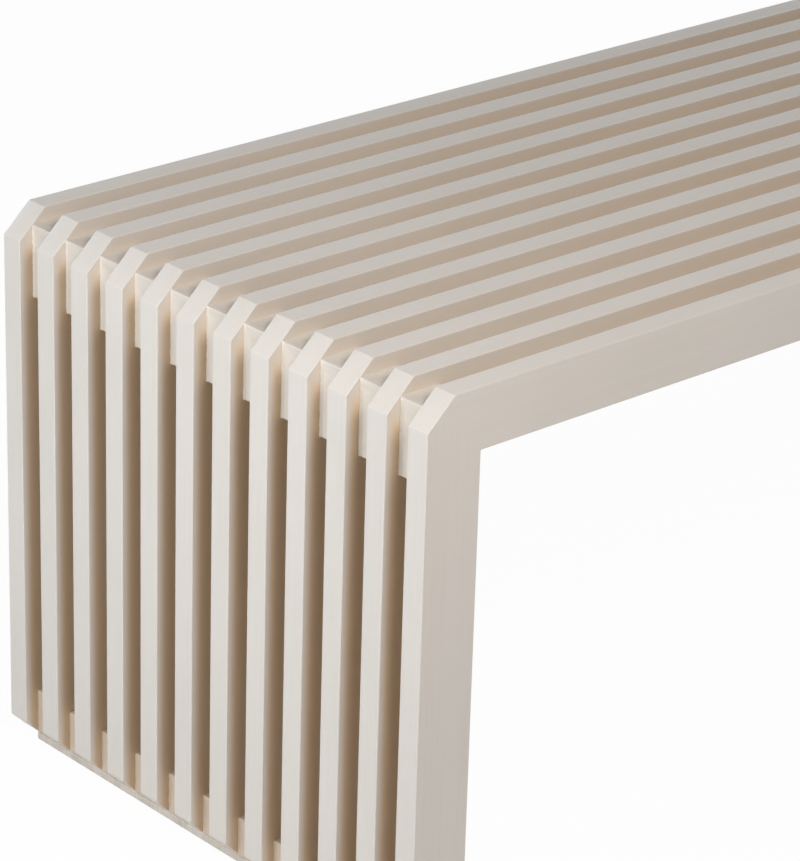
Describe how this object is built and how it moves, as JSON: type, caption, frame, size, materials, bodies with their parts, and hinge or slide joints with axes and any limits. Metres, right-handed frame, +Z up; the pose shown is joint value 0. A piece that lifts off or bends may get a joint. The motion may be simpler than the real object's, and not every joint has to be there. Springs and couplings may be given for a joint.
{
  "type": "slatted bench",
  "caption": "Painted wooden bench of upside-down U slat frames with cut-off corners, spaced by blocks at the corners and by a notched rail at each foot.",
  "frame": {"origin": "on the floor, under the middle of the seat", "axes": "+X along the bench towards its right end, +Y from the front frame to the back frame, +Z up"},
  "size_m": [1.4, 0.4788, 0.45],
  "materials": {
    "frame_paint": "satin cream paint over sanded wood",
    "spacer_paint": "satin cream paint over wood blocks, a little rougher",
    "foot_rail_paint": "satin cream paint over a wooden rail"
  },
  "bodies": {
    "root": {"top_rail_01": "frame_paint", "left_leg_01": "frame_paint", "right_leg_01": "frame_paint", "top_rail_02": "frame_paint", "left_leg_02": "frame_paint", "right_leg_02": "frame_paint", "top_rail_03": "frame_paint", "left_leg_03": "frame_paint", "right_leg_03": "frame_paint", "top_rail_04": "frame_paint", "left_leg_04": "frame_paint", "right_leg_04": "frame_paint", "top_rail_05": "frame_paint", "left_leg_05": "frame_paint", "right_leg_05": "frame_paint", "top_rail_06": "frame_paint", "left_leg_06": "frame_paint", "right_leg_06": "frame_paint", "top_rail_07": "frame_paint", "left_leg_07": "frame_paint", "right_leg_07": "frame_paint", "top_rail_08": "frame_paint", "left_leg_08": "frame_paint", "right_leg_08": "frame_paint", "top_rail_09": "frame_paint", "left_leg_09": "frame_paint", "right_leg_09": "frame_paint", "top_rail_10": "frame_paint", "left_leg_10": "frame_paint", "right_leg_10": "frame_paint", "top_rail_11": "frame_paint", "left_leg_11": "frame_paint", "right_leg_11": "frame_paint", "top_rail_12": "frame_paint", "left_leg_12": "frame_paint", "right_leg_12": "frame_paint", "left_spacer_01": "spacer_paint", "right_spacer_01": "spacer_paint", "left_spacer_02": "spacer_paint", "right_spacer_02": "spacer_paint", "left_spacer_03": "spacer_paint", "right_spacer_03": "spacer_paint", "left_spacer_04": "spacer_paint", "right_spacer_04": "spacer_paint", "left_spacer_05": "spacer_paint", "right_spacer_05": "spacer_paint", "left_spacer_06": "spacer_paint", "right_spacer_06": "spacer_paint", "left_spacer_07": "spacer_paint", "right_spacer_07": "spacer_paint", "left_spacer_08": "spacer_paint", "right_spacer_08": "spacer_paint", "left_spacer_09": "spacer_paint", "right_spacer_09": "spacer_paint", "left_spacer_10": "spacer_paint", "right_spacer_10": "spacer_paint", "left_spacer_11": "spacer_paint", "right_spacer_11": "spacer_paint", "left_foot_rail": "foot_rail_paint", "right_foot_rail": "foot_rail_paint"}
  },
  "joints": []
}
